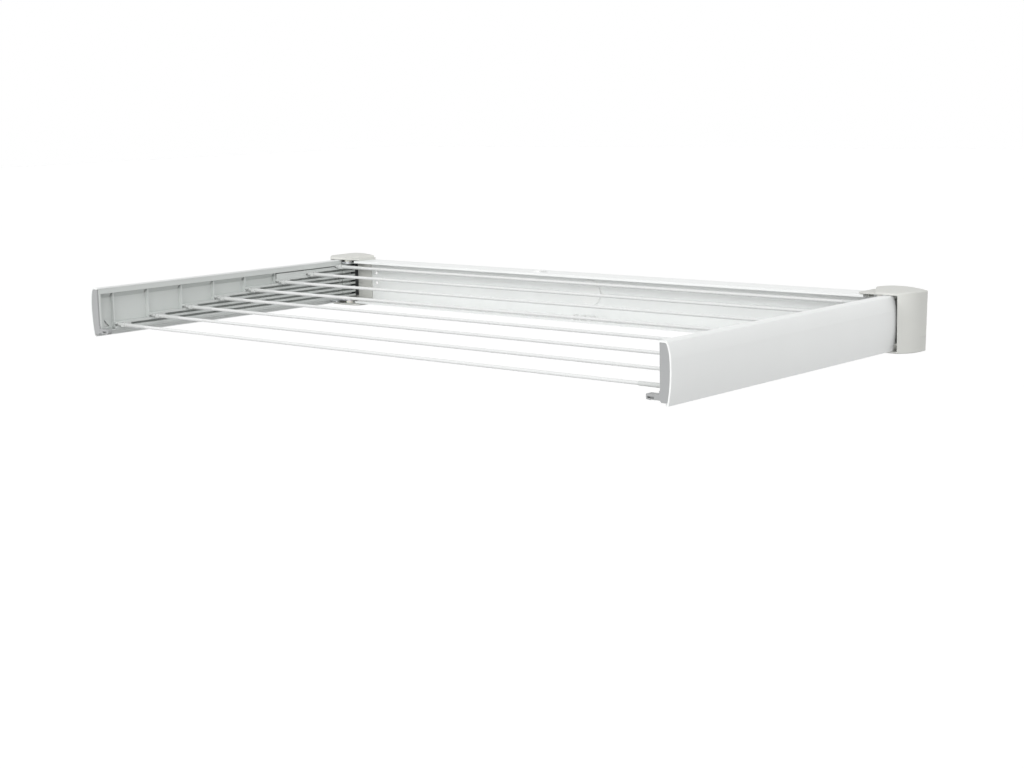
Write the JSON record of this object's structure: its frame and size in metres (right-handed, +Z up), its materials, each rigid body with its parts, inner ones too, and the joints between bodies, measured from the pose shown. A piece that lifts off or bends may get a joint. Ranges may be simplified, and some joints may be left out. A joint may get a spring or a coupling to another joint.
{
  "type": "wall mounted drying rack",
  "caption": "Wall mounted drying rack: an open wall rail with end caps, two swung-out arms and thin rods on carriers that slide back into the rail.",
  "frame": {"origin": "on the wall plane behind the rail, midway along it and at its mid height", "axes": "+X along the rail to the right as seen from the room, +Z up, +Y into the wall; the rack reaches out along -Y"},
  "size_m": [1.096, 0.532, 0.083],
  "materials": {
    "white_profile": "fine satin powder coat on aluminium",
    "cap_grey": "finely textured light grey moulded plastic",
    "moulded_white": "satin moulded plastic",
    "plate_grey": "satin mid-grey moulded plastic",
    "dark_insert": "dark grey rubber",
    "coated_rod": "smooth plastic coated steel wire",
    "zinc_steel": "zinc plated steel",
    "nylon": "natural nylon"
  },
  "bodies": {
    "rack": {"centre_catch": "moulded_white", "left_arm_end_plate": "plate_grey", "left_arm_frame": "moulded_white", "left_arm_shell": "white_profile", "left_bracket_screws": "zinc_steel", "left_cap_screws": "zinc_steel", "left_end_cap": "cap_grey", "left_hinge_washers": "nylon", "left_lower_hinge_bracket": "zinc_steel", "left_lower_hinge_pin": "zinc_steel", "left_parking_buffer": "dark_insert", "left_parking_guide": "moulded_white", "left_upper_hinge_bracket": "zinc_steel", "left_upper_hinge_pin": "zinc_steel", "rail_cover_disc": "moulded_white", "rail_flange_clip": "moulded_white", "right_arm_end_plate": "plate_grey", "right_arm_frame": "moulded_white", "right_arm_shell": "white_profile", "right_bracket_screws": "zinc_steel", "right_cap_screws": "zinc_steel", "right_end_cap": "cap_grey", "right_hinge_washers": "nylon", "right_lower_hinge_bracket": "zinc_steel", "right_lower_hinge_pin": "zinc_steel", "right_parking_buffer": "dark_insert", "right_parking_guide": "moulded_white", "right_upper_hinge_bracket": "zinc_steel", "right_upper_hinge_pin": "zinc_steel", "wall_rail": "white_profile"},
    "sliding_rod_1": {"rod_1": "coated_rod", "rod_1_left_carrier": "moulded_white", "rod_1_right_carrier": "moulded_white"},
    "sliding_rod_2": {"rod_2": "coated_rod", "rod_2_left_carrier": "moulded_white", "rod_2_right_carrier": "moulded_white"},
    "sliding_rod_3": {"rod_3": "coated_rod", "rod_3_left_carrier": "moulded_white", "rod_3_right_carrier": "moulded_white"},
    "sliding_rod_4": {"rod_4": "coated_rod", "rod_4_left_carrier": "moulded_white", "rod_4_right_carrier": "moulded_white"},
    "sliding_rod_5": {"rod_5": "coated_rod", "rod_5_left_carrier": "moulded_white", "rod_5_right_carrier": "moulded_white"},
    "sliding_rod_6": {"rod_6": "coated_rod", "rod_6_left_carrier": "moulded_white", "rod_6_right_carrier": "moulded_white"},
    "sliding_rod_7": {"rod_7": "coated_rod", "rod_7_left_carrier": "moulded_white", "rod_7_right_carrier": "moulded_white"},
    "sliding_rod_8": {"rod_8": "coated_rod", "rod_8_left_carrier": "moulded_white", "rod_8_right_carrier": "moulded_white"}
  },
  "joints": [
    {"name": "rod_1_slide", "type": "slide", "parent": "rack", "child": "sliding_rod_1", "axis": [0, 1, 0], "range_m": [0, 0.03]},
    {"name": "rod_2_slide", "type": "slide", "parent": "rack", "child": "sliding_rod_2", "axis": [0, 1, 0], "range_m": [0, 0.0932]},
    {"name": "rod_3_slide", "type": "slide", "parent": "rack", "child": "sliding_rod_3", "axis": [0, 1, 0], "range_m": [0, 0.1564]},
    {"name": "rod_4_slide", "type": "slide", "parent": "rack", "child": "sliding_rod_4", "axis": [0, 1, 0], "range_m": [0, 0.2196]},
    {"name": "rod_5_slide", "type": "slide", "parent": "rack", "child": "sliding_rod_5", "axis": [0, 1, 0], "range_m": [0, 0.2828]},
    {"name": "rod_6_slide", "type": "slide", "parent": "rack", "child": "sliding_rod_6", "axis": [0, 1, 0], "range_m": [0, 0.346]},
    {"name": "rod_7_slide", "type": "slide", "parent": "rack", "child": "sliding_rod_7", "axis": [0, 1, 0], "range_m": [0, 0.4092]},
    {"name": "rod_8_slide", "type": "slide", "parent": "rack", "child": "sliding_rod_8", "axis": [0, 1, 0], "range_m": [0, 0.4724]}
  ]
}
